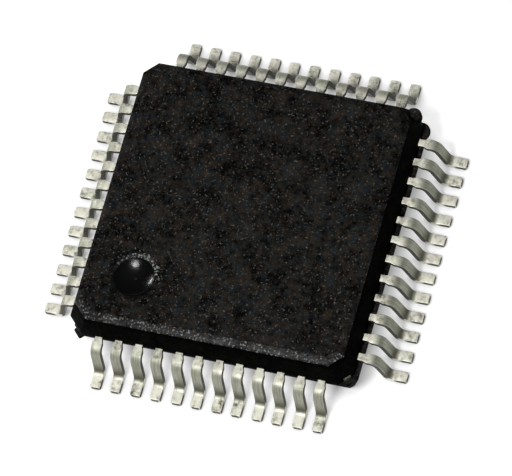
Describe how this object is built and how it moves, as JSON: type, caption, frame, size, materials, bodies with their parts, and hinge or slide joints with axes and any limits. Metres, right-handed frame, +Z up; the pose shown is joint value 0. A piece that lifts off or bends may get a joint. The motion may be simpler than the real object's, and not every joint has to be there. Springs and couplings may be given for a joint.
{
  "type": "quad flat pack chip",
  "caption": "Low-profile plastic quad flat pack with formed gull-wing leads on all sides and an index dimple.",
  "frame": {"origin": "on the seating plane under the feet of the leads, in the middle of the lead tips", "axes": "+Z up from the board through the top face; the index dimple is at the -X -Y corner; lead_01 is the leftmost lead of the front (-Y) row and the numbers run anticlockwise seen from above"},
  "size_m": [0.009, 0.009, 0.0016],
  "materials": {
    "mould_compound": "black filled epoxy, matt from the spark-eroded mould, glossy in the index dimple",
    "tin_plate": "matt tin plating on copper alloy, dull and fine-grained",
    "lead_frame_copper": "bare rolled copper alloy",
    "silver_epoxy": "silver-filled die attach adhesive",
    "silicon": "polished grey silicon",
    "gold_wire": "drawn gold bond wire"
  },
  "bodies": {
    "root": {"bond_wires": "gold_wire", "die_attach": "silver_epoxy", "die_pad": "lead_frame_copper", "lead_01": "tin_plate", "lead_02": "tin_plate", "lead_03": "tin_plate", "lead_04": "tin_plate", "lead_05": "tin_plate", "lead_06": "tin_plate", "lead_07": "tin_plate", "lead_08": "tin_plate", "lead_09": "tin_plate", "lead_10": "tin_plate", "lead_11": "tin_plate", "lead_12": "tin_plate", "lead_13": "tin_plate", "lead_14": "tin_plate", "lead_15": "tin_plate", "lead_16": "tin_plate", "lead_17": "tin_plate", "lead_18": "tin_plate", "lead_19": "tin_plate", "lead_20": "tin_plate", "lead_21": "tin_plate", "lead_22": "tin_plate", "lead_23": "tin_plate", "lead_24": "tin_plate", "lead_25": "tin_plate", "lead_26": "tin_plate", "lead_27": "tin_plate", "lead_28": "tin_plate", "lead_29": "tin_plate", "lead_30": "tin_plate", "lead_31": "tin_plate", "lead_32": "tin_plate", "lead_33": "tin_plate", "lead_34": "tin_plate", "lead_35": "tin_plate", "lead_36": "tin_plate", "lead_37": "tin_plate", "lead_38": "tin_plate", "lead_39": "tin_plate", "lead_40": "tin_plate", "lead_41": "tin_plate", "lead_42": "tin_plate", "lead_43": "tin_plate", "lead_44": "tin_plate", "lead_45": "tin_plate", "lead_46": "tin_plate", "lead_47": "tin_plate", "lead_48": "tin_plate", "moulded_body": "mould_compound", "silicon_die": "silicon"}
  },
  "joints": []
}
